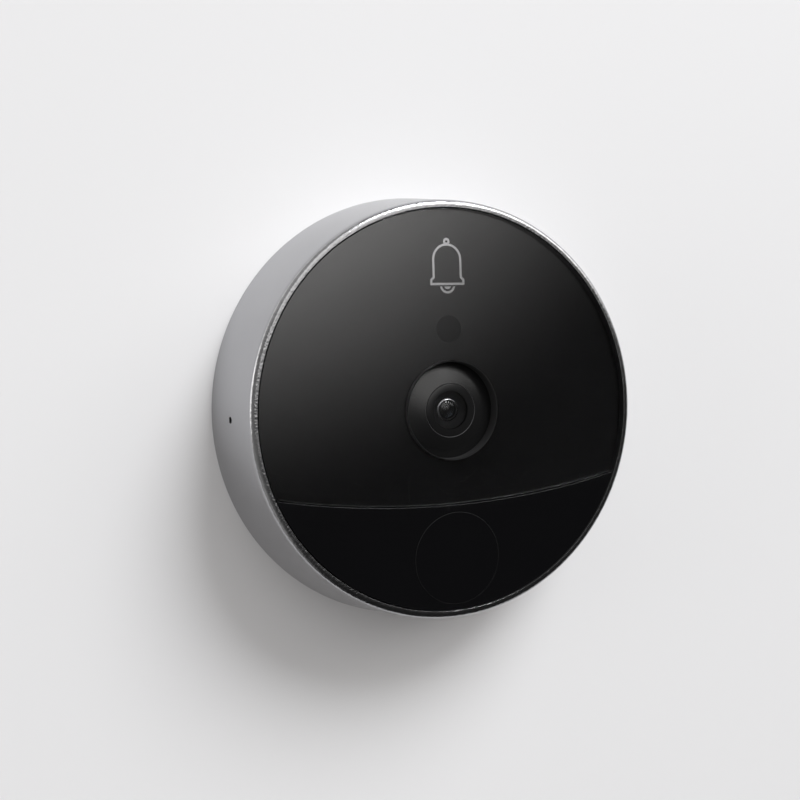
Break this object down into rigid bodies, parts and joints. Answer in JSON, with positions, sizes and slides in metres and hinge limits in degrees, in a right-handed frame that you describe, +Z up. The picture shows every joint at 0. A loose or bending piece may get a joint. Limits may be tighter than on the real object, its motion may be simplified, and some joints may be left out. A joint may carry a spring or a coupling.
{
  "type": "peephole door camera",
  "caption": "Round door camera: tapered aluminium housing, black front panel that rocks to ring the bell, recessed lens, motion sensor and a hollow barrel through the door.",
  "frame": {"origin": "middle of the unit's back, on the outer face of the door", "axes": "+Y into the door along the barrel, the front looks along -Y, +Z up the door, +X to the viewer's right"},
  "size_m": [0.0722, 0.0505, 0.0722],
  "materials": {
    "anodised_aluminium": "bead blasted and anodised",
    "smoked_acrylic": "clear, printed black behind",
    "bright_foil": "mirror",
    "black_gloss": "gloss",
    "black_satin": "satin",
    "dark_filter": "dark red, passes infrared",
    "black_textured": "fine spark texture",
    "clear_glass": "coated",
    "filter_glass": "coated",
    "black_rubber": "matt",
    "black_nylon": "matt",
    "plain_steel": "plain",
    "board_laminate": "lacquered",
    "chip_resin": "matt",
    "tinned_steel": "tinned",
    "ivory_plastic": "matt",
    "lamp_resin": "clear dome on white",
    "clear_plastic": "clear",
    "sensor_die": "glass covered",
    "copper_wire": "enamelled",
    "black_aluminium": "black anodised",
    "gold_plate": "plated",
    "speaker_steel": "painted",
    "barrel_metal": "turned",
    "foam_rubber": "fine foam"
  },
  "bodies": {
    "housing": {"housing_shell": "anodised_aluminium", "pir_panel": "black_gloss", "pir_lens": "black_satin", "lens_bezel": "black_textured", "lens_window": "clear_glass", "window_seal": "black_rubber", "front_chassis": "black_nylon", "chassis_seal": "black_rubber", "hinge_pins": "plain_steel", "main_board": "board_laminate", "board_chips": "chip_resin", "processor_shield": "tinned_steel", "bell_switch": "black_nylon", "ir_led": "lamp_resin", "light_guide": "clear_plastic", "image_sensor": "sensor_die", "lens_holder": "black_nylon", "ir_cut_coil": "copper_wire", "lens_barrel": "black_aluminium", "front_lens": "clear_glass", "rear_lens": "clear_glass", "camera_screws": "plain_steel", "pir_sensor": "tinned_steel", "microphone": "gold_plate", "mic_boot": "black_rubber", "speaker": "speaker_steel", "speaker_duct": "black_nylon", "cable_socket": "ivory_plastic", "rear_cover": "black_nylon", "rear_seal": "black_rubber", "cover_screws": "plain_steel", "door_pad": "foam_rubber", "door_barrel": "barrel_metal"},
    "bell_panel": {"bell_cover": "smoked_acrylic", "bell_icon": "bright_foil", "bell_base": "black_gloss", "sensor_window": "dark_filter"},
    "bell_plunger": {"switch_plunger": "ivory_plastic"},
    "ir_cut_shutter": {"ir_cut_slider": "black_nylon", "ir_cut_filters": "filter_glass"}
  },
  "joints": [
    {"name": "bell_press", "type": "hinge", "parent": "housing", "child": "bell_panel", "pos_m": [0, -0.0096, -0.01151], "axis": [-1, 0, 0], "range_deg": [0, 0.55], "stiffness_Nm_per_rad": 4, "springref_deg": -0.29},
    {"name": "plunger_press", "type": "slide", "parent": "housing", "child": "bell_plunger", "axis": [0, 1, 0], "range_m": [0, 0.00035]},
    {"name": "shutter_slide", "type": "slide", "parent": "housing", "child": "ir_cut_shutter", "axis": [1, 0, 0], "range_m": [0, 0.0058]}
  ],
  "couplings": [
    {"joint": "plunger_press", "follows": "bell_press", "m_per_rad": 0.0349}
  ]
}
